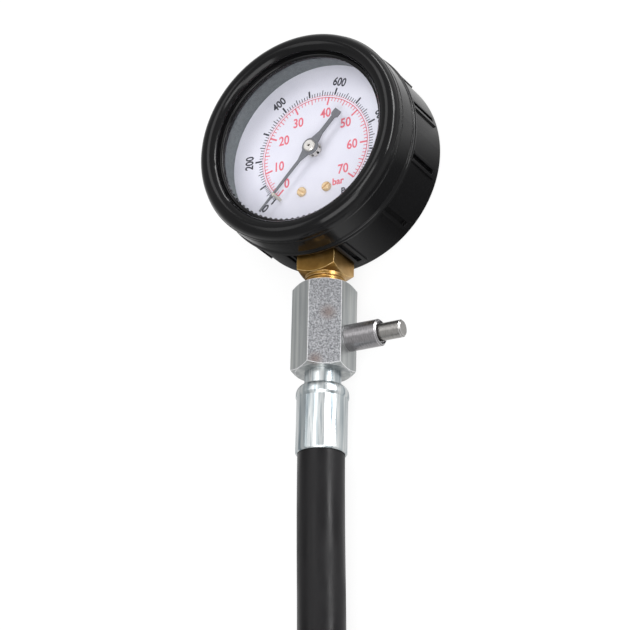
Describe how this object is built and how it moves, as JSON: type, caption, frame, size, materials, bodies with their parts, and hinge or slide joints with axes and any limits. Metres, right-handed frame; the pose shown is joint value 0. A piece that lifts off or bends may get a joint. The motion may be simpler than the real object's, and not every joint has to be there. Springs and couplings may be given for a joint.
{
  "type": "compression tester gauge",
  "caption": "Engine compression tester: round dial gauge on a hexagonal coupling with a push-to-release valve and a short hose with a threaded end.",
  "frame": {"origin": "centre of the case's flat back", "axes": "+Z along the dial's normal, away from the case's back; the hose leaves along -Y; the release valve points along +X"},
  "size_m": [0.0682, 0.4903, 0.0311],
  "materials": {
    "case_plastic": "moulded, satin",
    "bezel_plastic": "moulded, gloss",
    "window": "clear, polished",
    "ring_rubber": "smooth",
    "spacer_plastic": "moulded, satin",
    "dial_white": "enamelled, printed scale",
    "brass": "machined",
    "nickel": "nickel plated",
    "pointer_grey": "painted",
    "spring_steel": "drawn wire",
    "copper": "annealed",
    "turned_steel": "machined, dull",
    "pin_steel": "turned",
    "seal_rubber": "smooth",
    "zinc_steel": "bright zinc plated",
    "hose_rubber": "smooth, faint cloth pattern"
  },
  "bodies": {
    "gauge": {"case_cup": "case_plastic", "bezel_ring": "bezel_plastic", "window_lens": "window", "lens_gasket": "ring_rubber", "spacer_ring": "spacer_plastic", "dial_plate": "dial_white", "dial_screws": "brass", "stop_pin": "nickel", "movement_back_plate": "brass", "movement_front_plate": "brass", "movement_pillars": "brass", "movement_screws": "nickel", "hairspring": "spring_steel", "pressure_tube": "brass", "tube_tip": "brass", "gauge_socket": "brass", "socket_washer": "copper", "coupling_body": "turned_steel", "release_sleeve": "turned_steel", "release_spring": "spring_steel", "hose_stem": "zinc_steel", "upper_ferrule": "zinc_steel", "hose": "hose_rubber", "lower_ferrule": "zinc_steel", "end_fitting": "zinc_steel", "end_seal": "seal_rubber", "end_valve": "brass"},
    "sector": {"sector_gear": "brass"},
    "pointer": {"pointer": "pointer_grey", "pointer_hub": "nickel", "pinion_arbor": "nickel"},
    "link": {"link": "brass"},
    "release_pin": {"release_pin": "pin_steel", "release_seal": "seal_rubber"}
  },
  "joints": [
    {"name": "sector_turn", "type": "hinge", "parent": "gauge", "child": "sector", "pos_m": [0.0075, -0.01, 0], "axis": [0, 0, 1], "range_deg": [0, 30], "stiffness_Nm_per_rad": 0.0001},
    {"name": "pointer_turn", "type": "hinge", "parent": "gauge", "child": "pointer", "pos_m": [0, 0, 0], "axis": [0, 0, 1], "range_deg": [-270, 0]},
    {"name": "link_swing", "type": "hinge", "parent": "sector", "child": "link", "pos_m": [0.00595, -0.0158, 0], "axis": [0, 0, 1], "range_deg": [-30, 0]},
    {"name": "release_press", "type": "slide", "parent": "gauge", "child": "release_pin", "axis": [-1, 0, 0], "range_m": [0, 0.0026], "stiffness_N_per_m": 200, "springref_m": -0.002, "deforming": ["release_spring"]}
  ],
  "couplings": [
    {"joint": "pointer_turn", "follows": "sector_turn", "ratio": -9},
    {"joint": "link_swing", "follows": "sector_turn", "ratio": -1}
  ]
}
